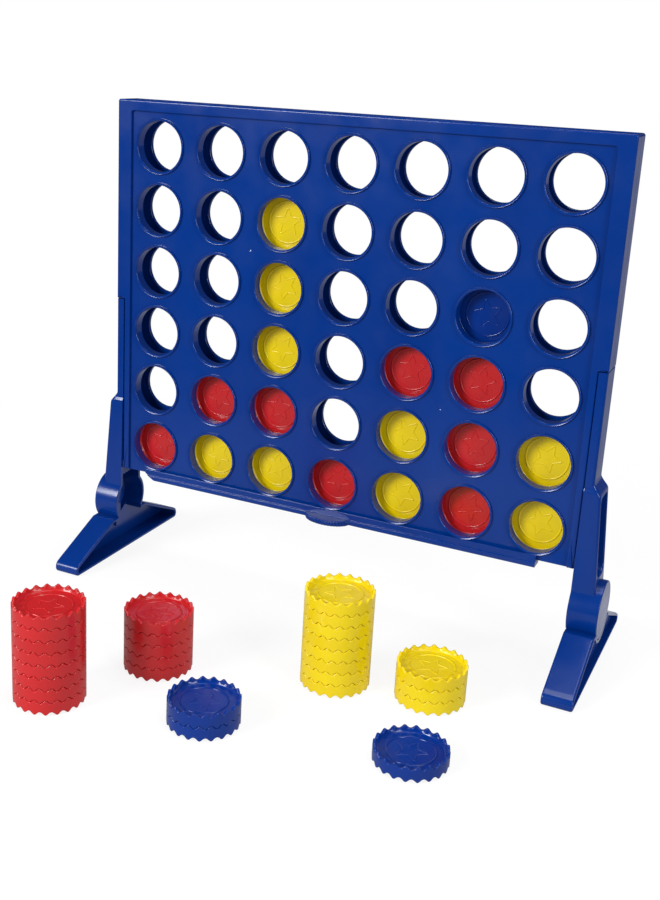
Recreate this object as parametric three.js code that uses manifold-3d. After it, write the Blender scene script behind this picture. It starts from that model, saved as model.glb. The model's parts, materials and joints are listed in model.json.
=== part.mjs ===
// Four-in-a-row table game: a hollow upright grid of seven columns and six rows, two legs with
// swivelling feet, a release slider under the columns, eighteen discs standing in the grid and
// twenty-seven lying in stacks in front of it. Millimetres, +X to the players' right, -Y to the front.
import * as THREE from 'three';
import * as BufferGeometryUtils from 'three/addons/utils/BufferGeometryUtils.js';
import Module from 'manifold-3d';

const wasm = await Module();
wasm.setup();

// ---- driving dimensions ----
const COLUMNS = 7;
const ROWS = 6;
const PITCH_X = 34.5; // column spacing
const PITCH_Z = 31.5; // row spacing, one disc on top of another
const TOP_ROW_Z = 222; // centre of the top row of holes above the table
const HOLE_R = 12.55;
const COLLAR_R = 13.8; // outside of the tube round each front hole
const GAP = 0.3; // between pieces that touch
const BITE = 1; // how far joined and cutting solids run into each other
const DISC_D = 31.2;
const DISC_T = 5.26;
const DISC_NEST = 5.56; // height that each disc adds to a stack
const DISC_Y = 1.75; // middle of the disc channel

const GRID_HALF_W = 127.5;
const GRID_TOP = 244;
const GRID_BOTTOM = 48.5;
const BORDER_FACE_Y = 8.2; // raised border, front and rear
const PANEL_FACE_Y = 6.8; // recessed panel with the holes
const FRONT_PANEL_IN_Y = 5.3;
const COLLAR_END_Y = 2;
const REAR_PANEL_IN_Y = 5.5;
const BORDER_IN_X = 119.6;
const BORDER_IN_Z = 238.7;
const WALL = 1.5;
const DIVIDER_BOTTOM = GRID_BOTTOM + 1;

const TONGUE_TOP = 142.5; // the leg's tongue takes the outer part of the side column up to here
const TONGUE_IN_X = 123;
const RAIL_OUT_X = 125.5;
const RAIL_HALF_Y = 6;
const RAIL_BOTTOM = 60;
const RAIL_TOP = 135;

const LEG_IN_X = TONGUE_IN_X + GAP;
const SHOULDER_Z = 90.5;
const SHOULDER_LOW_Z = 85.6;
const SHOULDER_X = 131.2;
const LEG_LOW_X = 134;
const LEG_LOW_Z = 44;
const LEG_HALF_Y = 8.2; // half the leg's depth at the top of its tongue
const LEG_LOW_HALF_Y = 9.8; // and where it meets the hub
const WEB_X = 127; // wall between the leg's inner hollow and its outer pocket
const POCKET_TOP = SHOULDER_LOW_Z - 1;
const HUB_Z = 28.3;
const HUB_R = 14;
const HUB_OUT_X = 137.5;
const BOSS_R = 3.5;
const BOSS_IN_X = 130.6;
const HUB_OPEN_HALF = 57; // degrees each side of straight down where the hub's wall is cut short
const HUB_OPEN_X = 133; // the wall under the hub starts here, over the web of the foot

const EYE_IN_X = 131.2;
const EYE_OUT_X = 132.8;
const EYE_BORE_R = 3.8;
const EYE_R = 5.6;
const NECK_HALF = 2;
const NECK_ROOT = 4; // height of the block that joins the neck to the web
const FOOT_HALF_Y = 50.5;
const FOOT_TIP_Z = 6.9;
const FOOT_TIP_IN_Y = 46.4;
const FOOT_TOP_Y = 15.8;
const FOOT_TOP_Z = 20.4;
const FOOT_EDGE = 3; // height over which the toe is rounded off
const TOE_LEAN = 0.6;
const CRADLE_R = HUB_R + GAP;

const SLIDER_LEFT = -108;
const SLIDER_RIGHT = 105.5;
const SLIDER_BOTTOM = 45.6;
const SLIDER_TOP = GRID_BOTTOM - GAP;
const FIN_TOP = 48.6;
const FIN_HALF_X = 1;
const LIP_TOP = 51.4;
const LIP_IN_Y = BORDER_FACE_Y + GAP;
const LIP_OUT_Y = 9.9;
const GRIP_HALF_X = 12;
const GRIP_REACH_Y = 16.6;
const GRIP_TOP = 48.2;

const FOOTPRINT_Y = 59; // sets the origin under the middle of everything that stands on the table

const HOLE_STEPS = 6; // half the sides of a hole
const DISC_SIDES = 16;
const HUB_STEPS = 12;

const COLOURS = {
  grid: { color: 0x0a3a9a, roughness: 0.35 },
  red: { color: 0xb2232a, roughness: 0.4 },
  yellow: { color: 0xe6cc10, roughness: 0.4 },
  blue: { color: 0x12307c, roughness: 0.35 },
};

// The discs in the grid: rows from the bottom up in each column.
const PLAYED = [
  ['red'],
  ['yellow', 'red'],
  ['yellow', 'red', 'yellow', 'yellow', 'yellow'],
  ['red'],
  ['yellow', 'yellow', 'red'],
  ['red', 'red', 'red', 'blue'],
  ['yellow', 'yellow'],
];

// The loose discs: stack name, colour, how many, and where the stack stands.
const STACKS = [
  ['red_stack_a', 'red', 8, -63.6, -152.9],
  ['red_stack_b', 'red', 5, -38.3, -106.0],
  ['yellow_stack_a', 'yellow', 8, 36.9, -77.4],
  ['yellow_stack_b', 'yellow', 3, 78.9, -68.9],
  ['blue_stack', 'blue', 2, 2.9, -136.1],
  ['blue_single', 'blue', 1, 88.4, -118.7],
];

// ---- solids ----
function solid(geometry) {
  const bare = geometry.index ? geometry.toNonIndexed() : geometry;
  bare.deleteAttribute('normal');
  bare.deleteAttribute('uv');
  const merged = BufferGeometryUtils.mergeVertices(bare, 1e-4);
  const vertProperties = new Float32Array(merged.attributes.position.array);
  const triVerts = new Uint32Array(merged.index.array);
  return new wasm.Manifold(new wasm.Mesh({ numProp: 3, vertProperties, triVerts }));
}

function geometryOf(manifold) {
  const mesh = manifold.getMesh();
  const geometry = new THREE.BufferGeometry();
  geometry.setAttribute('position', new THREE.BufferAttribute(mesh.vertProperties, 3));
  geometry.setIndex(new THREE.BufferAttribute(mesh.triVerts, 1));
  geometry.computeVertexNormals();
  return geometry;
}

function join(parts) {
  return parts.reduce((whole, part) => whole.add(part));
}

function block(x0, x1, y0, y1, z0, z1) {
  const geometry = new THREE.BoxGeometry(Math.abs(x1 - x0), Math.abs(y1 - y0), Math.abs(z1 - z0));
  geometry.translate((x0 + x1) / 2, (y0 + y1) / 2, (z0 + z1) / 2);
  return solid(geometry);
}

// An outline in X and Z, carried from y0 to y1.
function alongY(shape, y0, y1, curveSegments = HOLE_STEPS) {
  const depth = y1 - y0;
  const geometry = new THREE.ExtrudeGeometry(shape, { depth, bevelEnabled: false, curveSegments });
  geometry.rotateX(Math.PI / 2);
  geometry.translate(0, y1, 0);
  return solid(geometry);
}

// An outline in Y and Z, carried between two distances from the middle on one side (-1 or 1).
function outwards(shape, side, x0, x1, curveSegments = HUB_STEPS) {
  const depth = x1 - x0;
  const geometry = new THREE.ExtrudeGeometry(shape, { depth, bevelEnabled: false, curveSegments });
  const turned = new THREE.Matrix4().makeBasis(
    new THREE.Vector3(0, 1, 0), new THREE.Vector3(0, 0, 1), new THREE.Vector3(1, 0, 0),
  );
  geometry.applyMatrix4(turned);
  geometry.translate(side > 0 ? x0 : -x1, 0, 0);
  return solid(geometry);
}

function outline(points) {
  return new THREE.Shape(points.map(([a, b]) => new THREE.Vector2(a, b)));
}

function round(a, b, radius) {
  return new THREE.Shape().absarc(a, b, radius, 0, 2 * Math.PI, false);
}

function columnX(column) {
  return (column - (COLUMNS - 1) / 2) * PITCH_X;
}

function rowZ(row) {
  return TOP_ROW_Z - row * PITCH_Z;
}

// ---- the grid ----
function everyHole(radius, y0, y1) {
  const plugs = [];
  for (let column = 0; column < COLUMNS; column += 1) {
    for (let row = 0; row < ROWS; row += 1) {
      plugs.push(alongY(round(columnX(column), rowZ(row), radius), y0, y1));
    }
  }
  return join(plugs);
}

// One half's raised border, its closing walls and its half of the rails that hold the legs.
// face is -1 for the front half and 1 for the rear half.
function borderOf(face) {
  const from = (a, b) => (face < 0 ? [-b, -a] : [a, b]);
  const [faceIn, faceOut] = from(FRONT_PANEL_IN_Y, BORDER_FACE_Y);
  const [seam, wallEnd] = from(GAP / 2, FRONT_PANEL_IN_Y + WALL);
  const [railIn, railOut] = from(GAP / 2, RAIL_HALF_Y);
  const parts = [block(-GRID_HALF_W, GRID_HALF_W, faceIn, faceOut, BORDER_IN_Z, GRID_TOP)];
  for (const side of [-1, 1]) {
    const inner = side * BORDER_IN_X;
    const outer = side * GRID_HALF_W;
    const tongue = side * TONGUE_IN_X;
    parts.push(
      block(inner, tongue, faceIn, faceOut, GRID_BOTTOM, GRID_TOP),
      block(tongue - side * BITE, outer, faceIn, faceOut, TONGUE_TOP, GRID_TOP),
      block(outer - side * WALL, outer, seam, wallEnd, TONGUE_TOP, GRID_TOP),
      block(tongue - side * WALL, outer, seam, wallEnd, TONGUE_TOP, TONGUE_TOP + WALL),
      block(tongue - side * WALL, tongue, seam, wallEnd, GRID_BOTTOM, TONGUE_TOP + WALL),
      block(tongue - side * BITE, side * RAIL_OUT_X, railIn, railOut, RAIL_BOTTOM, RAIL_TOP),
    );
  }
  return join(parts);
}

function frontPanel() {
  const halfW = BORDER_IN_X + BITE;
  const top = BORDER_IN_Z + BITE;
  const plate = block(-halfW, halfW, -PANEL_FACE_Y, -FRONT_PANEL_IN_Y, GRID_BOTTOM, top);
  const collars = everyHole(COLLAR_R, -FRONT_PANEL_IN_Y - BITE, -COLLAR_END_Y);
  const holes = everyHole(HOLE_R, -BORDER_FACE_Y - BITE, 0);
  return plate.add(borderOf(-1)).add(collars).subtract(holes);
}

function rearPanel() {
  const halfW = BORDER_IN_X + BITE;
  const top = BORDER_IN_Z + BITE;
  const parts = [
    block(-halfW, halfW, REAR_PANEL_IN_Y, PANEL_FACE_Y, GRID_BOTTOM, top),
    borderOf(1),
  ];
  const dividerFront = -FRONT_PANEL_IN_Y + GAP;
  const dividerRear = REAR_PANEL_IN_Y + BITE;
  for (let edge = 0; edge <= COLUMNS; edge += 1) {
    const x = columnX(edge) - PITCH_X / 2;
    parts.push(
      block(x - WALL / 2, x + WALL / 2, dividerFront, dividerRear, DIVIDER_BOTTOM, GRID_TOP),
    );
  }
  const holes = everyHole(HOLE_R, REAR_PANEL_IN_Y - BITE, BORDER_FACE_Y + BITE);
  return join(parts).subtract(holes);
}

// ---- legs and feet ----
// The leg deepens evenly from its tongue to its hub.
function deepenDownwards(geometry) {
  const place = geometry.attributes.position;
  for (let i = 0; i < place.count; i += 1) {
    const down = (TONGUE_TOP - place.getZ(i)) / (TONGUE_TOP - LEG_LOW_Z);
    const half = THREE.MathUtils.lerp(LEG_HALF_Y, LEG_LOW_HALF_Y, Math.min(down, 1));
    place.setY(i, (place.getY(i) * half) / LEG_HALF_Y);
  }
  return geometry;
}

function post(side, points, halfY) {
  const shape = outline(points.map(([x, z]) => [side * x, z]));
  const geometry = new THREE.ExtrudeGeometry(shape, { depth: 2 * halfY, bevelEnabled: false });
  geometry.rotateX(Math.PI / 2);
  geometry.translate(0, halfY, 0);
  return solid(deepenDownwards(geometry));
}

function legPost(side) {
  const outside = post(side, [
    [LEG_IN_X, HUB_Z], [LEG_LOW_X + BITE, HUB_Z], [LEG_LOW_X, LEG_LOW_Z], [SHOULDER_X, SHOULDER_LOW_Z],
    [GRID_HALF_W, SHOULDER_Z], [GRID_HALF_W, TONGUE_TOP - GAP], [LEG_IN_X, TONGUE_TOP - GAP],
  ], LEG_HALF_Y);
  const innerHollow = post(side, [
    [LEG_IN_X - BITE, HUB_Z], [LEG_LOW_X - WALL, HUB_Z], [LEG_LOW_X - WALL, LEG_LOW_Z - WALL],
    [WEB_X - WALL / 2, LEG_LOW_Z - WALL], [WEB_X - WALL / 2, SHOULDER_Z],
    [GRID_HALF_W - WALL, SHOULDER_Z + WALL], [GRID_HALF_W - WALL, TONGUE_TOP - GAP - WALL],
    [LEG_IN_X - BITE, TONGUE_TOP - GAP - WALL],
  ], LEG_HALF_Y - WALL);
  const outerPocket = post(side, [
    [WEB_X + WALL / 2, LEG_LOW_Z], [HUB_OUT_X, LEG_LOW_Z], [HUB_OUT_X, POCKET_TOP],
    [WEB_X + WALL / 2, POCKET_TOP],
  ], LEG_HALF_Y - WALL);
  return { outside, hollows: innerHollow.add(outerPocket) };
}

function sector(radiusIn, radiusOut, halfAngle) {
  const half = THREE.MathUtils.degToRad(halfAngle);
  const down = -Math.PI / 2;
  const shape = new THREE.Shape();
  shape.absarc(0, HUB_Z, radiusOut, down - half, down + half, false);
  shape.absarc(0, HUB_Z, radiusIn, down + half, down - half, true);
  return shape;
}

function leg(side) {
  const hub = outwards(round(0, HUB_Z, HUB_R), side, LEG_IN_X, HUB_OUT_X);
  const hubHollow = outwards(round(0, HUB_Z, HUB_R - WALL), side, LEG_IN_X - BITE, HUB_OUT_X - WALL);
  const boss = outwards(round(0, HUB_Z, BOSS_R), side, BOSS_IN_X, HUB_OUT_X - WALL / 2);
  const openShape = sector(HUB_R - WALL - BITE, HUB_R + BITE, HUB_OPEN_HALF);
  const open = outwards(openShape, side, LEG_IN_X - BITE, HUB_OPEN_X);
  const { outside, hollows } = legPost(side);
  return outside.add(hub).subtract(hollows).subtract(hubHollow).subtract(open).add(boss);
}

// The foot's side outline: a low flat-topped triangle with rounded-off toes, drawn smaller by inset.
function footOutline(inset) {
  const y = FOOT_HALF_Y - inset;
  const low = inset;
  const slope = (FOOT_TOP_Z - FOOT_TIP_Z) / (FOOT_TIP_IN_Y - FOOT_TOP_Y);
  const drop = inset * Math.hypot(1, slope);
  const half = [
    [y - FOOT_EDGE / 2, low], [y, low + FOOT_EDGE / 2],
    [y - TOE_LEAN, FOOT_TIP_Z - FOOT_EDGE / 2 - inset / 2], [FOOT_TIP_IN_Y, FOOT_TIP_Z - drop],
    [FOOT_TOP_Y, FOOT_TOP_Z - drop],
  ];
  const mirrored = half.map(([a, b]) => [-a, b]).reverse();
  return outline([...half, ...mirrored]);
}

function foot(side) {
  const outside = outwards(footOutline(0), side, LEG_IN_X, HUB_OUT_X);
  const hollow = footOutline(WALL);
  const innerHollow = outwards(hollow, side, LEG_IN_X - BITE, HUB_OPEN_X);
  const outerHollow = outwards(hollow, side, HUB_OPEN_X + WALL, HUB_OUT_X + BITE);
  const cradle = outwards(round(0, HUB_Z, CRADLE_R + WALL), side, HUB_OPEN_X, HUB_OUT_X);
  const bed = outwards(round(0, HUB_Z, CRADLE_R), side, LEG_IN_X - BITE, HUB_OUT_X + BITE);
  const shell = outside.subtract(innerHollow).subtract(outerHollow);
  const cupped = shell.add(cradle.intersect(outside)).subtract(bed);
  const strip = (low, high) => outline([
    [-NECK_HALF, low], [NECK_HALF, low], [NECK_HALF, high], [-NECK_HALF, high],
  ]);
  const rootTop = HUB_Z - CRADLE_R;
  const rootLow = rootTop - NECK_ROOT;
  const root = outwards(strip(rootLow, rootTop), side, EYE_IN_X, HUB_OPEN_X + WALL / 2);
  const neck = outwards(strip(rootLow, HUB_Z - EYE_BORE_R - BITE), side, EYE_IN_X, EYE_OUT_X);
  const eye = outwards(round(0, HUB_Z, EYE_R), side, EYE_IN_X, EYE_OUT_X);
  const bore = outwards(round(0, HUB_Z, EYE_BORE_R), side, EYE_IN_X - BITE, EYE_OUT_X + BITE);
  return cupped.add(root).add(neck).add(eye).subtract(bore);
}

// ---- release slider ----
function grip() {
  const shape = new THREE.Shape();
  shape.moveTo(-GRIP_HALF_X, 0);
  shape.absellipse(0, 0, GRIP_HALF_X, GRIP_REACH_Y - LIP_IN_Y, Math.PI, 2 * Math.PI, false, 0);
  const depth = GRIP_TOP - SLIDER_BOTTOM;
  const geometry = new THREE.ExtrudeGeometry(shape, { depth, bevelEnabled: false, curveSegments: 6 });
  geometry.translate(0, -LIP_IN_Y, SLIDER_BOTTOM);
  return solid(geometry);
}

function releaseSlider() {
  const rail = (y0, y1, top) => block(SLIDER_LEFT, SLIDER_RIGHT, y0, y1, SLIDER_BOTTOM, top);
  const parts = [
    rail(-LIP_OUT_Y, -COLLAR_END_Y - GAP, SLIDER_TOP),
    rail(REAR_PANEL_IN_Y + GAP, LIP_OUT_Y, SLIDER_TOP),
    rail(-LIP_OUT_Y, -LIP_IN_Y, LIP_TOP),
    rail(LIP_IN_Y, LIP_OUT_Y, LIP_TOP),
    grip(),
  ];
  for (let column = 0; column < COLUMNS; column += 1) {
    const x = columnX(column);
    const x0 = x - FIN_HALF_X;
    const x1 = x + FIN_HALF_X;
    parts.push(
      block(x0, x1, -COLLAR_END_Y - BITE, REAR_PANEL_IN_Y + BITE, SLIDER_BOTTOM, SLIDER_TOP),
      block(x0, x1, -COLLAR_END_Y + GAP, REAR_PANEL_IN_Y - GAP, SLIDER_BOTTOM, FIN_TOP),
    );
  }
  return join(parts);
}

// ---- discs ----
function disc() {
  return new THREE.CylinderGeometry(DISC_D / 2, DISC_D / 2, DISC_T, DISC_SIDES);
}

// ---- the scene ----
const game = new THREE.Group();
game.position.y = FOOTPRINT_Y;

function piece(name, geometry, colour) {
  const material = new THREE.MeshStandardMaterial({ ...COLOURS[colour], metalness: 0 });
  const mesh = new THREE.Mesh(geometry, material);
  mesh.name = name;
  game.add(mesh);
  return mesh;
}

piece('front_panel', geometryOf(frontPanel()), 'grid');
piece('rear_panel', geometryOf(rearPanel()), 'grid');
piece('release_slider', geometryOf(releaseSlider()), 'grid');
for (const [name, side] of [['left', -1], ['right', 1]]) {
  piece(`${name}_leg`, geometryOf(leg(side)), 'grid');
  piece(`${name}_foot`, geometryOf(foot(side)), 'grid');
}

PLAYED.forEach((colours, column) => {
  colours.forEach((colour, up) => {
    const name = `${colour}_disc_column_${column + 1}_row_${ROWS - up}`;
    const mesh = piece(name, disc(), colour);
    mesh.position.set(columnX(column), DISC_Y, rowZ(ROWS - 1 - up));
  });
});

for (const [stack, colour, count, x, y] of STACKS) {
  for (let level = 0; level < count; level += 1) {
    const mesh = piece(`${stack}_disc_${level + 1}`, disc(), colour);
    mesh.rotation.x = Math.PI / 2;
    mesh.position.set(x, y, DISC_T / 2 + level * DISC_NEST);
  }
}

export default game;
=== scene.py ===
# Four-in-a-row table game: smooth injection-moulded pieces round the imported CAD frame.
# Lengths are in millimetres until a piece is finished, and Y is counted from the middle of the grid.
import json
import math
import random

import bmesh
import bpy
from mathutils import Matrix, Vector


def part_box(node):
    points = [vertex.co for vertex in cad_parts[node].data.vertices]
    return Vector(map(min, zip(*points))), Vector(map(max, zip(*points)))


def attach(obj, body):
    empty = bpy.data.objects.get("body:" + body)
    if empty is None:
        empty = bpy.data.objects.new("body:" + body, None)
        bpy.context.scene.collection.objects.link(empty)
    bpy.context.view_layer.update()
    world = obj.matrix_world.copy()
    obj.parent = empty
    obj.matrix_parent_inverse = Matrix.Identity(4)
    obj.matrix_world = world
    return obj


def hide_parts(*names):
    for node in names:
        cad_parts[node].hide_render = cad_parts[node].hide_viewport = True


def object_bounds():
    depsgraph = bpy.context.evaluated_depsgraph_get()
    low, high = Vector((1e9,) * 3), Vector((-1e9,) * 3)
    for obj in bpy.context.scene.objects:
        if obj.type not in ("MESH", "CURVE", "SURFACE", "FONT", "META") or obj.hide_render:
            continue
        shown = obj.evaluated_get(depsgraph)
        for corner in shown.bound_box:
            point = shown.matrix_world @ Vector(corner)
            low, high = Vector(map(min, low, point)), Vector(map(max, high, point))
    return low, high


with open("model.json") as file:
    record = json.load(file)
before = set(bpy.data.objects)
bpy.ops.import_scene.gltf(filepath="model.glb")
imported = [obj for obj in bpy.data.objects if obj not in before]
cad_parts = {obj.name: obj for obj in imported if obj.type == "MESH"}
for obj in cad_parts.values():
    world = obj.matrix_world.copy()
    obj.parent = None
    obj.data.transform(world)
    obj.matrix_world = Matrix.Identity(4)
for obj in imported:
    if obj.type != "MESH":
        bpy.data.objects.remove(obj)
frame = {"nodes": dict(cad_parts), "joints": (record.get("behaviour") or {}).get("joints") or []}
cad_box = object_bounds()

MM = 0.001


# ---- sizes that come from the frame ----
def box_mm(node):
    low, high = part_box(node)
    return low / MM, high / MM


def middle_mm(node):
    low, high = box_mm(node)
    return (low + high) / 2


JOINTS = {joint["name"]: joint for joint in frame["joints"]}
PANEL_LOW, PANEL_HIGH = box_mm("front_panel")
MID_Y = (PANEL_LOW.y + box_mm("rear_panel")[1].y) / 2
HALF_W = PANEL_HIGH.x
TOP = PANEL_HIGH.z
BOTTOM = PANEL_LOW.z
FACE_Y = MID_Y - PANEL_LOW.y
COLUMNS, ROWS = 7, 6
FIRST_DISC = middle_mm("red_disc_column_1_row_6")
PITCH_X = middle_mm("yellow_disc_column_2_row_6").x - FIRST_DISC.x
PITCH_Z = middle_mm("red_disc_column_2_row_5").z - FIRST_DISC.z
LEG_LOW, LEG_HIGH = box_mm("right_leg")
FOOT_HALF = box_mm("right_foot")[1].y - MID_Y
SLIDER_LOW, SLIDER_HIGH = box_mm("release_slider")
HUB_Z = JOINTS["right_foot_swivel"]["pos_m"][2] / MM
LOOSE_LOW, LOOSE_HIGH = box_mm("blue_single_disc_1")
DISC_R = (LOOSE_HIGH.x - LOOSE_LOW.x) / 2
PLAIN_DISC_HALF = LOOSE_HIGH.z / 2  # half the thickness of the CAD's disc, which has no teeth

# ---- sizes of the mouldings ----
SEAM = 0.15  # half the gap between the two halves of the grid
WALL = 1.5
PANEL_Y = 6.8  # recessed panel with the holes
PLATE_IN = {-1: 5.3, 1: 5.5}  # inner face of the front and the rear plate
TUBE_IN = {-1: 2.0, 1: 5.3}  # inner end of the tube round each hole
HOLE_R = 12.55
RING_R = 13.8
RING_STEPS = 80
BEAD_RISE = 1.0
BEAD = [  # section of the rim round a hole: distance in from its outer edge, share of BEAD_RISE
    (0, -0.1), (0, 0.6), (0.03, 0.78), (0.12, 0.92), (0.26, 1.0),
    (0.42, 0.97), (0.95, 0.66), (1.13, 0.5), (1.22, 0.3),
]
BORDER_X = 119.6
BORDER_Z = 238.7
TONGUE_X = 123.0  # the grid narrows to this below TONGUE_Z, where the tongues of the legs lie
TONGUE_Z = 142.5
TONGUE_RAIL_Y, TONGUE_RAIL_LOW, TONGUE_RAIL_HIGH = 6.0, 60, 135  # what a leg's tongue clips over
DIVIDER_Y = (-5.0, 6.3)
EDGE = 0.8  # rounding of the outer edges

HUB_R = 14.0
HUB_STEPS = 96
BED_R = HUB_R + 0.06

TEETH = 20
STEPS_A_TOOTH = 10
TOOTH_HEIGHT = 0.8
DISC_HALF = 2.71  # half the rim's height where a tooth is at its mean
FACE_HALF = 0.8  # half the web between the two faces
DISC_LIFT = DISC_HALF + TOOTH_HEIGHT  # half the full thickness, over the teeth

random.seed(4)


# ---- outlines ----
def rounded(points, radii, steps=6):
    """A closed outline whose corners are arcs. radii is one radius, or one for each corner."""
    if not isinstance(radii, (list, tuple)):
        radii = [radii] * len(points)
    result = []
    for index, radius in enumerate(radii):
        corner = Vector(points[index])
        before = (Vector(points[index - 1]) - corner).normalized()
        after = (Vector(points[(index + 1) % len(points)]) - corner).normalized()
        if radius <= 0:
            result.append(corner)
            continue
        half = before.angle(after) / 2
        centre = corner + (before + after).normalized() * (radius / math.sin(half))
        start = corner + before * (radius / math.tan(half)) - centre
        end = corner + after * (radius / math.tan(half)) - centre
        turn = math.atan2(start.x * end.y - start.y * end.x, start.dot(end))
        for step in range(steps + 1):
            angle = turn * step / steps
            c, s = math.cos(angle), math.sin(angle)
            spoke = Vector((start.x * c - start.y * s, start.x * s + start.y * c))
            result.append(centre + spoke)
    return result


def anticlockwise(outline):
    area = sum(
        a[0] * b[1] - b[0] * a[1] for a, b in zip(outline, outline[1:] + outline[:1])
    )
    return list(outline) if area > 0 else list(reversed(outline))


def inset(outline, distance):
    """An anticlockwise outline moved inwards by distance."""
    result = []
    for index, here in enumerate(outline):
        before = (here - outline[index - 1]).normalized()
        after = (outline[(index + 1) % len(outline)] - here).normalized()
        normal = Vector((-before.y, before.x)) + Vector((-after.y, after.x))
        normal.normalize()
        reach = distance / max(0.3, normal.dot(Vector((-before.y, before.x))))
        result.append(here + normal * reach)
    return result


def quarter(steps=4):
    return [math.pi / 2 * step / steps for step in range(steps + 1)]


def edges(low, high, round_low=0.0, round_high=0.0):
    """(position, inset) levels of a prism whose two ends have rounded edges."""
    levels = [(low, 0.0)]
    if round_low:
        levels = [
            (low + round_low * (1 - math.cos(a)), round_low * (1 - math.sin(a)))
            for a in quarter()
        ]
    if not round_high:
        return levels + [(high, 0.0)]
    return levels + [
        (high - round_high * (1 - math.sin(a)), round_high * (1 - math.cos(a)))
        for a in quarter()
    ]


def flared(floor, mouth, lip, over=1.0):
    """Levels of a cutter that leaves a lip of that radius where it breaks the surface at mouth."""
    way = 1 if mouth > floor else -1
    levels = [(floor, 0.0)]
    for a in quarter():
        levels.append((mouth - way * lip * (1 - math.sin(a)), -lip * (1 - math.cos(a))))
    return levels + [(mouth + way * over, -lip)]


# ---- solids ----
def solid(points, faces):
    mesh = bpy.data.meshes.new("solid")
    mesh.from_pydata([tuple(p) for p in points], [], faces)
    work = bmesh.new()
    work.from_mesh(mesh)
    bmesh.ops.recalc_face_normals(work, faces=work.faces)
    work.to_mesh(mesh)
    work.free()
    made = bpy.data.objects.new("solid", mesh)
    bpy.context.scene.collection.objects.link(made)
    return made


def put(axis, position, a, b):
    """A point of an outline at a position along an axis.
    Outlines across X are (y, z), across Y (x, z) and across Z (x, y)."""
    return {"X": (position, a, b), "Y": (a, position, b), "Z": (a, b, position)}[axis]


def lofted(rings, axis):
    """A solid through outlines of equally many points. rings is (position, outline) pairs."""
    count = len(rings[0][1])
    points, faces = [], []
    for position, ring in rings:
        points += [put(axis, position, p.x, p.y) for p in ring]
    for level in range(len(rings) - 1):
        low, high = level * count, (level + 1) * count
        for i in range(count):
            j = (i + 1) % count
            faces.append((low + i, low + j, high + j, high + i))
    last = (len(rings) - 1) * count
    faces.append(tuple(reversed(range(count))))
    faces.append(tuple(range(last, last + count)))
    return solid(points, faces)


def prism(outline, levels, axis):
    """A solid with one outline all along an axis, at the levels that edges() or flared() give."""
    outline = anticlockwise([Vector(p) for p in outline])
    rings = [(at, inset(outline, distance) if distance else outline) for at, distance in levels]
    return lofted(rings, axis)


def block(x0, x1, y0, y1, z0, z1):
    return prism([(x0, z0), (x1, z0), (x1, z1), (x0, z1)], edges(min(y0, y1), max(y0, y1)), "Y")


def turned(profile, axis, a, b, steps, closed=False):
    """Points and faces of a body of revolution about a line along axis through (a, b).
    profile is (radius, position) pairs, from axis to axis, or a closed loop clear of the axis."""
    points, faces, rings = [], [], []
    for radius, position in profile:
        if radius == 0:
            rings.append([len(points)])
            points.append(put(axis, position, a, b))
            continue
        rings.append(list(range(len(points), len(points) + steps)))
        for step in range(steps):
            angle = 2 * math.pi * step / steps
            c, s = math.cos(angle), math.sin(angle)
            points.append(put(axis, position, a + radius * c, b + radius * s))
    pairs = list(zip(rings, rings[1:] + (rings[:1] if closed else [])))
    for low, high in pairs:
        for i in range(steps):
            j = (i + 1) % steps
            quad = [low[i % len(low)], low[j % len(low)], high[j % len(high)], high[i % len(high)]]
            corners = list(dict.fromkeys(quad))
            if len(corners) > 2:
                faces.append(tuple(corners))
    return points, faces


def lathe(profile, axis, a, b, steps=HUB_STEPS, closed=False):
    return solid(*turned(profile, axis, a, b, steps, closed))


def drum(radius, low, high, a, b, round_low=0.0, round_high=0.0, steps=HUB_STEPS):
    """A round solid along X."""
    levels = edges(low, high, round_low, round_high)
    sides = [(radius - distance, position) for position, distance in levels]
    return lathe([(0, low)] + sides + [(0, high)], "X", a, b, steps)


def combined(operation, base, tools):
    for tool in tools:
        change = base.modifiers.new(operation, "BOOLEAN")
        change.operation = operation
        change.solver = "MANIFOLD"
        change.object = tool
    bpy.context.view_layer.update()
    graph = bpy.context.evaluated_depsgraph_get()
    mesh = bpy.data.meshes.new_from_object(base.evaluated_get(graph), depsgraph=graph)
    base.modifiers.clear()
    base.data = mesh
    for tool in tools:
        bpy.data.objects.remove(tool)
    return base


def fuse(base, *tools):
    return combined("UNION", base, tools)


def cut(base, *tools):
    return combined("DIFFERENCE", base, tools)


def split(piece, axis, positions):
    """Divides the faces at planes, so that no flat face has a hole inside it."""
    normal = put(axis, 1, 0, 0)
    work = bmesh.new()
    work.from_mesh(piece.data)
    for position in positions:
        parts = work.verts[:] + work.edges[:] + work.faces[:]
        bmesh.ops.bisect_plane(work, geom=parts, plane_co=put(axis, position, 0, 0), plane_no=normal)
    work.to_mesh(piece.data)
    work.free()
    return piece


def gathered(parts):
    """Many separate (points, faces) as one solid, for solids that don't touch each other."""
    points, faces = [], []
    for some_points, some_faces in parts:
        start = len(points)
        points += some_points
        faces += [tuple(start + i for i in face) for face in some_faces]
    return solid(points, faces)


def reshaped(piece, move):
    """Each point of the solid goes where move(x, y, z) says."""
    for vertex in piece.data.vertices:
        vertex.co = move(*vertex.co)
    return piece


def mirrored(piece):
    """A copy of the solid on the other side of the grid."""
    twin = bpy.data.objects.new("solid", piece.data.copy())
    bpy.context.scene.collection.objects.link(twin)
    twin.data.transform(Matrix.Scale(-1, 4, (1, 0, 0)))
    twin.data.flip_normals()
    return twin


def smooth(mesh, sharp_degrees=32):
    mesh.shade_smooth()
    mesh.set_sharp_from_angle(angle=math.radians(sharp_degrees))


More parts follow.
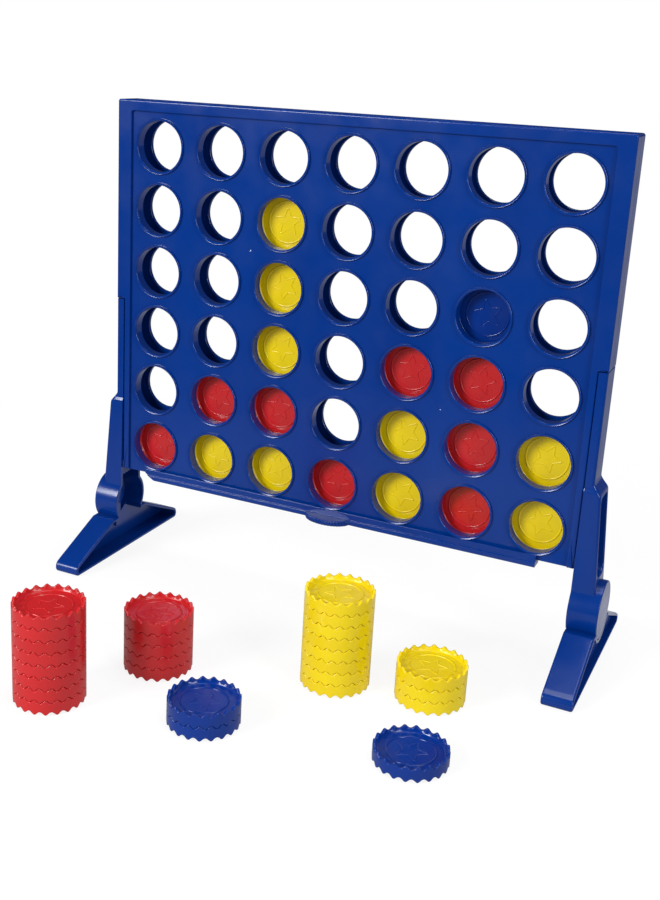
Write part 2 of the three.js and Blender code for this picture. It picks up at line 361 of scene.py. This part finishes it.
def finished(piece, name, node, body, material):
    """The solid in metres in the frame, smooth, riding on its body in place of the CAD node."""
    piece.name = name
    piece.data.name = name
    piece.data.transform(Matrix.Scale(MM, 4) @ Matrix.Translation((0, MID_Y, 0)))
    smooth(piece.data)
    piece.data.materials.clear()
    piece.data.materials.append(material)
    flat = piece.modifiers.new("flat_faces", "WEIGHTED_NORMAL")
    flat.keep_sharp = True
    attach(piece, body)
    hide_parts(node)
    return piece


# ---- materials ----
def plastic(name, colour, deeper, roughness, sheen_depth, mirror=0.42):
    """Semi-gloss moulded plastic: faint flow marks in its colour, soft sink marks and fine grain."""
    material = bpy.data.materials.new(name)
    material.use_nodes = True
    nodes, links = material.node_tree.nodes, material.node_tree.links
    nodes.clear()
    output = nodes.new("ShaderNodeOutputMaterial")
    shader = nodes.new("ShaderNodeBsdfPrincipled")
    links.new(shader.outputs["BSDF"], output.inputs["Surface"])
    where = nodes.new("ShaderNodeTexCoord").outputs["Object"]

    def noise(scale, detail, stretch=(1, 1, 1)):
        mapping = nodes.new("ShaderNodeMapping")
        mapping.inputs["Scale"].default_value = stretch
        links.new(where, mapping.inputs["Vector"])
        texture = nodes.new("ShaderNodeTexNoise")
        texture.inputs["Scale"].default_value = scale
        texture.inputs["Detail"].default_value = detail
        links.new(mapping.outputs["Vector"], texture.inputs["Vector"])
        return texture.outputs["Fac"]

    def ranged(value, low, high):
        change = nodes.new("ShaderNodeMapRange")
        change.inputs["From Min"].default_value = 0.3
        change.inputs["From Max"].default_value = 0.7
        change.inputs["To Min"].default_value = low
        change.inputs["To Max"].default_value = high
        links.new(value, change.inputs["Value"])
        return change.outputs["Result"]

    flow = noise(26, 3, (1, 1, 0.45))
    blend = nodes.new("ShaderNodeMix")
    blend.data_type = "RGBA"
    blend.inputs["A"].default_value = (*colour, 1)
    blend.inputs["B"].default_value = (*deeper, 1)
    links.new(ranged(flow, 0.0, 1.0), blend.inputs["Factor"])
    links.new(blend.outputs["Result"], shader.inputs["Base Color"])
    smudges = noise(70, 4)
    links.new(ranged(smudges, roughness - 0.05, roughness + 0.06), shader.inputs["Roughness"])
    shader.inputs["Specular IOR Level"].default_value = mirror
    shader.inputs["Coat Weight"].default_value = sheen_depth
    shader.inputs["Coat Roughness"].default_value = 0.12
    sink = nodes.new("ShaderNodeBump")
    sink.inputs["Strength"].default_value = 0.25
    sink.inputs["Distance"].default_value = 0.00025
    links.new(noise(90, 2), sink.inputs["Height"])
    grain = nodes.new("ShaderNodeBump")
    grain.inputs["Strength"].default_value = 0.12
    grain.inputs["Distance"].default_value = 0.00004
    links.new(noise(2600, 2), grain.inputs["Height"])
    links.new(sink.outputs["Normal"], grain.inputs["Normal"])
    links.new(grain.outputs["Normal"], shader.inputs["Normal"])
    return material


GRID_BLUE = plastic("grid_blue", (0.0, 0.033, 0.235), (0.0, 0.028, 0.21), 0.2, 0.06)
DISC_BLUE = plastic("disc_blue", (0.0, 0.032, 0.26), (0.0, 0.027, 0.225), 0.2, 0.1)
RED = plastic("disc_red", (0.62, 0.014, 0.017), (0.54, 0.01, 0.013), 0.28, 0.1, 0.6)
YELLOW = plastic("disc_yellow", (0.88, 0.68, 0.0), (0.82, 0.6, 0.0), 0.26, 0.1, 0.55)
DISC_MATERIALS = {
    "red": (RED, "red_plastic"),
    "yellow": (YELLOW, "yellow_plastic"),
    "blue": (DISC_BLUE, "blue_disc_plastic"),
}


# ---- the grid ----
def hole_centres():
    for column in range(COLUMNS):
        for row in range(ROWS):
            yield FIRST_DISC.x + column * PITCH_X, FIRST_DISC.z + row * PITCH_Z


def hole_rings(face):
    """The rounded rim round each hole, sloping into the hole, and the tube behind it."""
    inner = TUBE_IN[face]
    profile = [(HOLE_R + 0.2, inner), (RING_R - 0.2, inner), (RING_R, inner + 0.2)]
    profile += [(RING_R - across, PANEL_Y + BEAD_RISE * rise) for across, rise in BEAD]
    profile += [(HOLE_R, PANEL_Y), (HOLE_R, inner + 0.2)]
    profile = [(radius, face * depth) for radius, depth in profile]
    rings = (turned(profile, "Y", x, z, RING_STEPS, closed=True) for x, z in hole_centres())
    return gathered(rings)


def grid_half(face):
    """The front (-1) or rear (1) half: raised border, recessed plate, rimmed holes and sides."""

    def across(low, high):
        return sorted((face * low, face * high))

    def slab(x0, x1, y0, y1, z0, z1):
        return block(x0, x1, *across(y0, y1), z0, z1)

    outer = rounded(
        [
            (-TONGUE_X, BOTTOM), (TONGUE_X, BOTTOM), (TONGUE_X, TONGUE_Z), (HALF_W, TONGUE_Z),
            (HALF_W, TOP), (-HALF_W, TOP), (-HALF_W, TONGUE_Z), (-TONGUE_X, TONGUE_Z),
        ],
        [0.4, 0.4, 0.3, 0.4, 1.2, 1.2, 0.4, 0.3],
    )
    levels = [(face * y, distance) for y, distance in edges(SEAM, FACE_Y, 0.0, EDGE)]
    shell = prism(outer, levels, "Y")
    below = BOTTOM - 9
    recess = rounded(
        [(-BORDER_X, below), (BORDER_X, below), (BORDER_X, BORDER_Z), (-BORDER_X, BORDER_Z)],
        [0, 0, 1.2, 1.2],
    )
    recess_levels = [(face * y, distance) for y, distance in flared(PANEL_Y, FACE_Y, 0.4)]
    plate_in = PLATE_IN[face]
    inside = TONGUE_X - WALL
    column_in = HALF_W - WALL
    floor_z = TONGUE_Z + WALL
    shell = cut(
        shell,
        prism(recess, recess_levels, "Y"),
        slab(-inside, inside, -1, plate_in, below, floor_z + 1),
        slab(-column_in, column_in, -1.1, plate_in, floor_z, TOP + 9),
    )
    rail_box = (SEAM, TONGUE_RAIL_Y, TONGUE_RAIL_LOW, TONGUE_RAIL_HIGH)
    rails = [slab(side * (TONGUE_X - 1), side * (TONGUE_X + 2.5), *rail_box) for side in (-1, 1)]
    shell = fuse(shell, *rails)
    split(shell, "X", [FIRST_DISC.x + column * PITCH_X for column in range(COLUMNS)])
    split(shell, "Z", [FIRST_DISC.z + row * PITCH_Z for row in range(ROWS)])
    middle_r, start, end = (HOLE_R + RING_R) / 2, 4.0 * face, 9.0 * face
    through = [(0, start), (middle_r, start), (middle_r, end), (0, end)]
    plugs = gathered(turned(through, "Y", x, z, RING_STEPS) for x, z in hole_centres())
    return fuse(cut(shell, plugs), hole_rings(face))


def gate_marks():
    """Two faint round sink marks where the front half was filled."""
    radius, depth, steps = 3.0, 0.3, 16
    centre_y = -PANEL_Y - radius + depth
    angles = [math.pi * step / steps for step in range(steps + 1)]
    arc = [(radius * math.sin(a), centre_y + radius * math.cos(a)) for a in angles]
    arc[0], arc[-1] = (0, arc[0][1]), (0, arc[-1][1])
    return gathered(turned(arc, "Y", x, z, 2 * steps) for x, z in ((52.5, 113.3), (-50.5, 176.7)))


def dividers():
    """The eight walls between and beside the columns, moulded on the rear half."""
    walls = []
    front, rear = DIVIDER_Y
    for edge in range(COLUMNS + 1):
        x = FIRST_DISC.x + (edge - 0.5) * PITCH_X
        left, right = x - WALL / 2, x + WALL / 2
        outline = rounded([(left, front), (right, front), (right, rear), (left, rear)], [0.5, 0.5, 0, 0])
        walls.append(prism(outline, edges(BOTTOM + 1, TOP - 0.2, 0.3, 0.3), "Z"))
    return walls


front = cut(grid_half(-1), gate_marks())
finished(front, "front_panel_moulding", "front_panel", "grid", GRID_BLUE)
rear = fuse(grid_half(1), *dividers())
finished(rear, "rear_panel_moulding", "rear_panel", "grid", GRID_BLUE)


# ---- legs ----
LEG_IN = LEG_LOW.x
HUB_OUT = LEG_HIGH.x
LEG_TOP = LEG_HIGH.z
SHOULDER_HIGH, SHOULDER_LOW = 90.5, 85.6
SHOULDER_OUT = 131.2
STEP_LOW, STEP_HIGH = 86.4, 88.8  # soft step across the front and the back of the leg
STEP = 0.75
LEG_LOW_OUT, LEG_LOW_Z = 134.0, 44.0
LEG_TOP_HALF, LEG_LOW_HALF = 8.2, 9.8
WEB = 127.0
OPEN_X = 133.0  # the wall under the hub starts here, over the web of the foot
OPEN_HALF = math.radians(55)
EYE_IN, EYE_OUT, EYE_BORE, EYE_R = 131.2, 132.8, 3.8, 5.6
BOSS_R, BOSS_IN = 3.5, 130.6


def deepened(x, y, z):
    """The leg is as deep as the grid down to a soft step, and grows deeper from there to its hub."""
    step = max(0.0, min(1.0, (STEP_HIGH - z) / (STEP_HIGH - STEP_LOW)))
    down = max(0.0, min(1.0, (STEP_LOW - z) / (STEP_LOW - LEG_LOW_Z)))
    half = LEG_TOP_HALF + STEP * step * step * (3 - 2 * step)
    half += (LEG_LOW_HALF - LEG_TOP_HALF - STEP) * down
    return x, y * half / LEG_TOP_HALF, z


def leaning(x, y, z):
    """Carries the mouth of the outer pocket along the sloping face of the leg."""
    slope = (LEG_LOW_OUT - SHOULDER_OUT) / (SHOULDER_LOW - LEG_LOW_Z)
    share = max(0.0, min(1.0, (x - WEB - WALL / 2) / (SHOULDER_OUT - WEB - WALL / 2)))
    return x + share * slope * (SHOULDER_LOW - z), y, z


def leg_post():
    """The tongue, shoulder and post. It is made too wide and too tall and then trimmed, so that its
    edges against the grid and round its top stay square."""
    outline = rounded(
        [
            (LEG_IN - 1, HUB_Z), (LEG_LOW_OUT + 1, HUB_Z), (LEG_LOW_OUT, LEG_LOW_Z),
            (SHOULDER_OUT, SHOULDER_LOW), (HALF_W, SHOULDER_HIGH),
            (HALF_W, LEG_TOP + 1), (LEG_IN - 1, LEG_TOP + 1),
        ],
        [0, 0, 0, 3.2, 3.0, 0, 0],
    )
    post = prism(outline, edges(-LEG_TOP_HALF, LEG_TOP_HALF, 1.3, 1.3), "Y")
    split(post, "Z", [STEP_LOW + (STEP_HIGH - STEP_LOW) * step / 8 for step in range(9)])
    trims = (
        block(LEG_IN - 9, LEG_IN, -20, 20, HUB_Z - 9, LEG_TOP + 9),
        block(LEG_IN - 9, HALF_W + 9, -20, 20, LEG_TOP, LEG_TOP + 9),
    )
    return cut(reshaped(post, deepened), *trims)


def leg_hollow():
    """The space inside, open towards the grid."""
    deep, shallow = LEG_LOW_OUT - WALL, WEB - WALL / 2
    outline = rounded(
        [
            (LEG_IN - 1, HUB_Z), (deep, HUB_Z), (deep, LEG_LOW_Z - WALL), (shallow, LEG_LOW_Z - WALL),
            (shallow, SHOULDER_HIGH), (HALF_W - WALL, SHOULDER_HIGH + WALL),
            (HALF_W - WALL, LEG_TOP - WALL), (LEG_IN - 1, LEG_TOP - WALL),
        ],
        [0, 0, 0.5, 0.5, 0.5, 0.5, 0.6, 0],
    )
    half = LEG_TOP_HALF - WALL
    return reshaped(prism(outline, edges(-half, half, 0.5, 0.5), "Y"), deepened)


def leg_pocket():
    """The pocket in the outer side of the post."""
    half = LEG_TOP_HALF - WALL - 0.3
    low, high = LEG_LOW_Z + 1, SHOULDER_LOW - 1.5
    corners = [(-half, low), (half, low), (half, high), (-half, high)]
    outline = rounded(corners, [4.6, 4.6, 2.2, 2.2], steps=10)
    pocket = prism(outline, flared(WEB + WALL / 2, SHOULDER_OUT, 0.45, over=5), "X")
    return reshaped(reshaped(pocket, leaning), deepened)


def hub_opening():
    """The part of the hub's wall that is left out underneath, for the neck of the foot."""
    steps = 24
    down = -math.pi / 2
    fan = [down - OPEN_HALF + 2 * OPEN_HALF * step / steps for step in range(steps + 1)]

    def arc(radius, angles):
        return [(radius * math.cos(a), HUB_Z + radius * math.sin(a)) for a in angles]

    outline = arc(HUB_R + 1, fan) + arc(HUB_R - WALL - 1, reversed(fan))
    return prism(outline, edges(LEG_IN - 1, OPEN_X), "X")


def leg():
    """A shell open towards the grid: tongue, post and round hub, with the pivot's boss in the hub."""
    hub = drum(HUB_R, LEG_IN, HUB_OUT, 0, HUB_Z, 0.4, 0.6)
    hub_hollow = drum(HUB_R - WALL, LEG_IN - 1, HUB_OUT - WALL, 0, HUB_Z, 0, 0.6)
    boss = drum(BOSS_R, BOSS_IN, HUB_OUT - WALL / 2, 0, HUB_Z, 0.5, 0, steps=48)
    body = fuse(leg_post(), hub)
    return fuse(cut(body, leg_hollow(), leg_pocket(), hub_hollow, hub_opening()), boss)


# ---- feet ----
FOOT_TIP_Y, FOOT_TIP_Z = 46.4, 6.9
FOOT_TOP_Y, FOOT_TOP_Z = 15.8, 20.4
FOOT_WALL = 1.6
NECK_HALF = 2


def foot_outline(distance):
    """The foot's side outline, or the outline of its recess when distance is the wall's thickness."""
    end = [(FOOT_HALF, 0), (FOOT_HALF - 0.3, 5.0)]
    right = [Vector(p) for p in end + [(FOOT_TIP_Y, FOOT_TIP_Z), (FOOT_TOP_Y, FOOT_TOP_Z)]]
    left = [Vector((-p.x, p.y)) for p in reversed(right)]
    radii = [max(radius - distance, 0.4) for radius in (2.3, 3.2, 4.0, 2.4)]
    corners = inset(anticlockwise(right + left), distance)
    return rounded(corners, radii + radii[::-1], steps=8)


def foot():
    """An A-shaped block with a recess in each side, a bed for the hub, and its neck and eye."""
    body = prism(foot_outline(0), edges(LEG_IN, HUB_OUT, 0.8, 1.1), "X")
    inner = prism(foot_outline(FOOT_WALL), flared(OPEN_X, LEG_IN, 0.45), "X")
    outer = prism(foot_outline(FOOT_WALL), flared(OPEN_X + WALL, HUB_OUT, 0.35), "X")
    outer = cut(outer, drum(BED_R + WALL, OPEN_X, HUB_OUT + 5, 0, HUB_Z))
    body = cut(body, inner, outer, drum(BED_R, LEG_IN - 1, HUB_OUT + 1, 0, HUB_Z))
    low, high = HUB_Z - BED_R - 4, HUB_Z - EYE_BORE - 1
    back, rim = OPEN_X + WALL / 2, HUB_Z - BED_R
    side = [(EYE_IN, rim), (EYE_IN, low + 2.6), (OPEN_X - 0.1, low), (back, low), (back, rim)]
    root = prism(side, edges(-NECK_HALF, NECK_HALF, 0.25, 0.25), "Y")
    neck = block(EYE_IN, EYE_OUT, -NECK_HALF, NECK_HALF, low, high)
    eye = drum(EYE_R, EYE_IN, EYE_OUT, 0, HUB_Z, 0.3, 0.3, steps=64)
    bore = drum(EYE_BORE, EYE_IN - 1, EYE_OUT + 1, 0, HUB_Z, steps=48)
    return cut(fuse(body, root, neck, eye), bore)


for make, kind in ((leg, "leg"), (foot, "foot")):
    right = make()
    left = mirrored(right)
    for side, piece in (("right", right), ("left", left)):
        node = f"{side}_{kind}"
        finished(piece, f"{node}_moulding", node, node, GRID_BLUE)


# ---- release slider ----
GAP = 0.3  # between the slider and the grid
LIP_IN = FACE_Y + GAP
LIP_OUT = 9.9
LIP_FRONT = 9.2  # the lip stands back a little above the ledge along the bottom
LIP_TOP = SLIDER_HIGH.z
RAIL_TOP = BOTTOM - GAP
RAIL_IN = {-1: 2.3, 1: 5.8}  # inner side of the front and the rear rail
FIN_TOP = RAIL_TOP + 0.4
FIN_HALF = 1.0
FIN_FRONT, FIN_REAR = -3.0, 6.5
GRIP_HALF, GRIP_REACH, GRIP_TOP = 12.0, MID_Y - SLIDER_LOW.y, 48.2
GRIP_EDGE = 0.9
RIBS = 22
STEPS_A_RIB = 8
END_LEAN = 5  # how far the slider's left end leans over the height of its rail


def slider_rail(face):
    """One long rail with its upright lip, as a section carried along the slider."""
    low, inner = SLIDER_LOW.z, RAIL_IN[face]
    section = [
        (LIP_OUT, low), (inner, low), (inner, RAIL_TOP), (LIP_IN, RAIL_TOP),
        (LIP_IN, LIP_TOP), (LIP_FRONT, LIP_TOP), (LIP_FRONT, GRIP_TOP), (LIP_OUT, GRIP_TOP),
    ]
    radii = [0.6, 0.3, 0.3, 0.25, 0.25, 0.35, 0.3, 0.35]
    outline = rounded([(face * y, z) for y, z in section], radii)
    return prism(outline, edges(SLIDER_LOW.x, SLIDER_HIGH.x, 0.15, 0.15), "X")


def grip():
    """The thumb grip: half an oval, with upright ribs that fade out towards its rounded top."""
    rings = []
    steps = RIBS * STEPS_A_RIB
    for z, distance in edges(SLIDER_LOW.z, GRIP_TOP, 0.4, GRIP_EDGE):
        half, reach = GRIP_HALF - distance, GRIP_REACH - LIP_IN - distance
        ring = []
        for step in range(steps + 1):
            angle = math.pi * (1 + step / steps)
            wave = 1 - math.cos(2 * math.pi * step / STEPS_A_RIB)
            rib = 0.5 * (1 - distance / GRIP_EDGE) * wave / 2
            along = Vector((half * math.cos(angle), reach * math.sin(angle)))
            ring.append(along * (1 - rib / along.length) - Vector((0, LIP_IN)))
        rings.append((z, ring + [Vector((half, 1 - LIP_IN)), Vector((-half, 1 - LIP_IN))]))
    return lofted(rings, "Z")


def grip_root(side):
    """The hollow rounding where the grip leaves the ledge."""
    radius = 1.6
    x, y = side * (GRIP_HALF + 0.6), -LIP_OUT - radius
    arc = [(x - side * radius * math.sin(a), y + radius * math.cos(a)) for a in quarter(8)]
    inside, behind = side * (GRIP_HALF - 2), 0.4 - LIP_OUT
    outline = arc + [(inside, y), (inside, behind), (x, behind)]
    return prism(outline, edges(SLIDER_LOW.z + 0.3, GRIP_TOP - 0.1, 0, 0.5), "Z")


def slider_fins():
    """A fin under the middle of each column, that the lowest disc stands on."""
    clear_of_plate = PLATE_IN[1] - GAP
    side = [
        (FIN_FRONT, SLIDER_LOW.z), (FIN_REAR, SLIDER_LOW.z), (FIN_REAR, RAIL_TOP),
        (clear_of_plate, RAIL_TOP), (clear_of_plate, FIN_TOP), (FIN_FRONT, FIN_TOP),
    ]
    middles = [FIRST_DISC.x + column * PITCH_X for column in range(COLUMNS)]
    return [prism(side, edges(x - FIN_HALF, x + FIN_HALF, 0.3, 0.3), "X") for x in middles]


def slanted_end():
    """Cuts the left end off along one sloping line."""
    left, low, high = SLIDER_LOW.x, SLIDER_LOW.z, LIP_TOP + 1
    slope = END_LEAN / (BOTTOM - low)
    start = left + 1 - (high - BOTTOM) * slope
    end = left + 1 + (BOTTOM - low + 1) * slope
    outline = [(start - 9, high), (start, high), (end, low - 1), (start - 9, low - 1)]
    return prism(outline, edges(-30, 30), "Y")


def release_slider():
    rails = slider_rail(-1), slider_rail(1)
    return cut(fuse(*rails, grip(), grip_root(-1), grip_root(1), *slider_fins()), slanted_end())


finished(
    release_slider(), "release_slider_moulding", "release_slider", "release_slider",
    GRID_BLUE,
)


# ---- discs ----
def tooth(angle):
    """Height of the rim's wave, up to 1: slightly narrower tips than valleys."""
    phase = TEETH * angle
    return (math.cos(phase) + 0.08 * math.cos(2 * phase)) / 1.08


def disc_half_profile(rim):
    """(radius, height) from the middle of a face, over its round ridge, to the rim's outer wall.
    The rim ends at height rim."""
    face = FACE_HALF
    arch = [math.pi * step / 6 for step in range(6, -1, -1)]
    ridge = [(10.1 + 0.42 * math.cos(a), face + 0.34 * math.sin(a)) for a in arch]
    rim_inside = [
        (13.3, face), (13.55, face + 0.08), (13.72, face + 0.3),
        (14.05, 1.6), (14.3, rim - 0.26), (14.42, rim - 0.08),
    ]
    rim_outside = [
        (14.6, rim), (15.2, rim), (15.42, rim - 0.07),
        (15.55, rim - 0.2), (DISC_R, rim - 0.42), (DISC_R, 0.9),
    ]
    return [(9.2, face)] + ridge + rim_inside + rim_outside


def disc_body():
    """The disc swept round its middle in steps, its rim rising and falling with the teeth."""
    steps = TEETH * STEPS_A_TOOTH
    points, faces = [(0, 0, FACE_HALF), (0, 0, -FACE_HALF)], []
    for step in range(steps):
        angle = 2 * math.pi * step / steps
        half = disc_half_profile(DISC_HALF + TOOTH_HEIGHT * tooth(angle))
        loop = half + [(radius, -height) for radius, height in reversed(half)]
        count = len(loop)
        c, s = math.cos(angle), math.sin(angle)
        points += [(radius * c, radius * s, height) for radius, height in loop]
    for step in range(steps):
        here, there = 2 + step * count, 2 + (step + 1) % steps * count
        for i in range(count - 1):
            faces.append((here + i, here + i + 1, there + i + 1, there + i))
        faces.append((0, here, there))
        faces.append((1, there + count - 1, here + count - 1))
    return solid(points, faces)


def star_ridge(face):
    """A raised five-pointed outline on one face, as a low rounded ridge."""
    corners = []
    for index in range(10):
        radius = 7.2 if index % 2 == 0 else 3.3
        angle = math.pi / 2 + math.pi * index / 5
        corners.append(Vector((radius * math.cos(angle), radius * math.sin(angle))))
    path = anticlockwise(rounded(corners, 0.35, steps=4))
    left_half = [(-0.34, -0.15), (-0.28, 0.09), (-0.13, 0.17)]
    section = left_half + [(-offset, rise) for offset, rise in reversed(left_half)]
    points, faces = [], []
    for offset, rise in section:
        points += [(p.x, p.y, face * (FACE_HALF + rise)) for p in inset(path, offset)]
    count = len(path)
    for ring in range(len(section)):
        low, high = ring * count, (ring + 1) % len(section) * count
        for i in range(count):
            j = (i + 1) % count
            faces.append((low + i, low + j, high + j, high + i))
    return solid(points, faces)


def disc_mesh(colour):
    piece = fuse(disc_body(), star_ridge(1), star_ridge(-1))
    mesh = piece.data
    bpy.data.objects.remove(piece)
    mesh.name = f"{colour}_disc_mesh"
    mesh.transform(Matrix.Scale(MM, 4))
    smooth(mesh, 50)
    mesh.materials.clear()
    mesh.materials.append(DISC_MATERIALS[colour][0])
    return mesh


DISC_MESHES = {colour: disc_mesh(colour) for colour in DISC_MATERIALS}
TOOTH_TURN = 2 * math.pi / TEETH


def place_disc(node, turn):
    """A detailed disc where the CAD disc is. A loose disc stands on its teeth, so a little higher."""
    colour = node.split("_")[0]
    low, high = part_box(node)
    centre = (low + high) / 2
    lies = high.z - low.z < high.y - low.y
    piece = bpy.data.objects.new(f"{node}_moulding", DISC_MESHES[colour])
    bpy.context.scene.collection.objects.link(piece)
    if lies:
        raised = centre + Vector((0, 0, (DISC_LIFT - PLAIN_DISC_HALF) * MM))
        piece.matrix_world = Matrix.Translation(raised) @ Matrix.Rotation(turn, 4, "Z")
    else:
        upright = Matrix.Rotation(math.pi / 2, 4, "X") @ Matrix.Rotation(turn, 4, "Z")
        piece.matrix_world = Matrix.Translation(centre) @ upright
    flat = piece.modifiers.new("flat_faces", "WEIGHTED_NORMAL")
    flat.keep_sharp = True
    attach(piece, node)
    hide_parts(node)


for node in sorted(frame["nodes"]):
    if "_disc_column_" in node:
        place_disc(node, random.uniform(0, 2 * math.pi))
    elif "_disc_" in node:
        # within a stack the discs are turned by whole teeth and, so that they nest, by half a tooth
        # from the one below; stacks with names of another length start at another turn
        level = int(node.rsplit("_", 1)[1])
        start = 0.4 * len(node) % 1
        place_disc(node, TOOTH_TURN * (random.randrange(TEETH) + 0.5 * (level % 2) + start))


# ---- floor, light and camera ----
def floor():
    """White floor: lit and shadowed near the game, and a plain white backdrop away from it."""
    size = 6.0
    corners = [(-size, -size, 0), (size, -size, 0), (size, size, 0), (-size, size, 0)]
    mesh = bpy.data.meshes.new("floor")
    mesh.from_pydata(corners, [], [(0, 1, 2, 3)])
    made = bpy.data.objects.new("floor", mesh)
    bpy.context.scene.collection.objects.link(made)
    material = bpy.data.materials.new("white_floor")
    material.use_nodes = True
    nodes, links = material.node_tree.nodes, material.node_tree.links
    shader = nodes["Principled BSDF"]
    shader.inputs["Base Color"].default_value = (0.16, 0.16, 0.16, 1)
    shader.inputs["Emission Color"].default_value = (1, 1, 1, 1)
    shader.inputs["Roughness"].default_value = 0.9
    shader.inputs["Specular IOR Level"].default_value = 0.1
    path = nodes.new("ShaderNodeLightPath")

    def ranged(value, first, last, low, high):
        change = nodes.new("ShaderNodeMapRange")
        change.interpolation_type = "SMOOTHSTEP"
        limits = {"From Min": first, "From Max": last, "To Min": low, "To Max": high}
        for socket, number in limits.items():
            change.inputs[socket].default_value = number
        links.new(value, change.inputs["Value"])
        return change.outputs["Result"]

    where = nodes.new("ShaderNodeTexCoord").outputs["Object"]
    distance = nodes.new("ShaderNodeVectorMath")
    distance.operation = "LENGTH"
    links.new(where, distance.inputs[0])
    axes = nodes.new("ShaderNodeSeparateXYZ")
    links.new(where, axes.inputs["Vector"])

    def strength(seen, lit, mirrored_level):
        """White to look at, dimmer as a light and darker again in the plastic's reflections."""
        dim = nodes.new("ShaderNodeMix")
        dim.inputs["A"].default_value = lit
        links.new(mirrored_level, dim.inputs["B"])
        links.new(path.outputs["Is Glossy Ray"], dim.inputs["Factor"])
        full = nodes.new("ShaderNodeMix")
        full.inputs["B"].default_value = seen
        links.new(path.outputs["Is Camera Ray"], full.inputs["Factor"])
        links.new(dim.outputs["Result"], full.inputs["A"])
        return full.outputs["Result"]

    near = ranged(axes.outputs["Y"], 0.0, 0.1, 0.2, 0.5)
    links.new(strength(0.86, 0.45, near), shader.inputs["Emission Strength"])
    far = ranged(axes.outputs["Y"], 0.0, 0.1, 0.03, 0.3)
    white = nodes.new("ShaderNodeEmission")
    links.new(strength(1.0, 0.6, far), white.inputs["Strength"])
    fade = ranged(distance.outputs["Value"], 0.16, 0.42, 0.0, 1.0)
    blend = nodes.new("ShaderNodeMixShader")
    links.new(fade, blend.inputs["Fac"])
    links.new(shader.outputs["BSDF"], blend.inputs[1])
    links.new(white.outputs["Emission"], blend.inputs[2])
    links.new(blend.outputs["Shader"], nodes["Material Output"].inputs["Surface"])
    mesh.materials.append(material)


def softbox(name, place, aim, width, height, power):
    light = bpy.data.lights.new(name, "AREA")
    light.shape = "RECTANGLE"
    light.size, light.size_y = width, height
    light.energy = power
    made = bpy.data.objects.new(name, light)
    bpy.context.scene.collection.objects.link(made)
    made.location = place
    made.rotation_euler = (Vector(aim) - Vector(place)).to_track_quat("-Z", "Y").to_euler()


def surroundings():
    """White to look at, dimmer as a light and dark in reflections, so that the plastic stays deep."""
    world = bpy.data.worlds.new("studio")
    bpy.context.scene.world = world
    world.use_nodes = True
    nodes, links = world.node_tree.nodes, world.node_tree.links
    background = nodes["Background"]
    background.inputs["Color"].default_value = (1, 1, 1, 1)
    path = nodes.new("ShaderNodeLightPath")
    level = nodes.new("ShaderNodeMix")
    level.inputs["A"].default_value = 0.3
    level.inputs["B"].default_value = 0.05
    links.new(path.outputs["Is Glossy Ray"], level.inputs["Factor"])
    seen = nodes.new("ShaderNodeMix")
    seen.inputs["B"].default_value = 1.0
    links.new(path.outputs["Is Camera Ray"], seen.inputs["Factor"])
    links.new(level.outputs["Result"], seen.inputs["A"])
    links.new(seen.outputs["Result"], background.inputs["Strength"])


CAMERA_AZIMUTH = math.radians(25.83)
CAMERA_ELEVATION = math.radians(16.34)
CAMERA_ROLL = math.radians(2.63)
CAMERA_DISTANCE = 0.5251
CAMERA_AIM = Vector((-0.0063, -0.0029, 0.0004))  # from the middle of the game
CAMERA_LENS = 46.98
CAMERA_SHIFT = (0.06, -0.06)


def camera():
    low, high = cad_box
    aim = (low + high) / 2 + CAMERA_AIM
    a, e = CAMERA_AZIMUTH, CAMERA_ELEVATION
    back = Vector((math.sin(a) * math.cos(e), -math.cos(a) * math.cos(e), math.sin(e)))
    lens = bpy.data.cameras.new("camera")
    lens.lens = CAMERA_LENS
    lens.shift_x, lens.shift_y = CAMERA_SHIFT
    lens.clip_start, lens.clip_end = 0.01, 50
    made = bpy.data.objects.new("camera", lens)
    bpy.context.scene.collection.objects.link(made)
    made.rotation_mode = "QUATERNION"
    level = (-back).to_track_quat("-Z", "Y")
    made.rotation_quaternion = level @ Matrix.Rotation(CAMERA_ROLL, 3, "Z").to_quaternion()
    made.location = aim + back * CAMERA_DISTANCE
    bpy.context.scene.camera = made


floor()
surroundings()
middle = tuple((cad_box[0] + cad_box[1]) / 2)
softbox("key_light", (-0.8, -1.35, 0.75), middle, 0.6, 0.6, 23)
softbox("top_light", (0.2, 0.2, 1.5), middle, 0.8, 0.8, 8)
softbox("side_light", (1.3, -0.6, 0.7), middle, 0.4, 0.9, 9)
camera()
bpy.context.scene.view_settings.view_transform = "Standard"
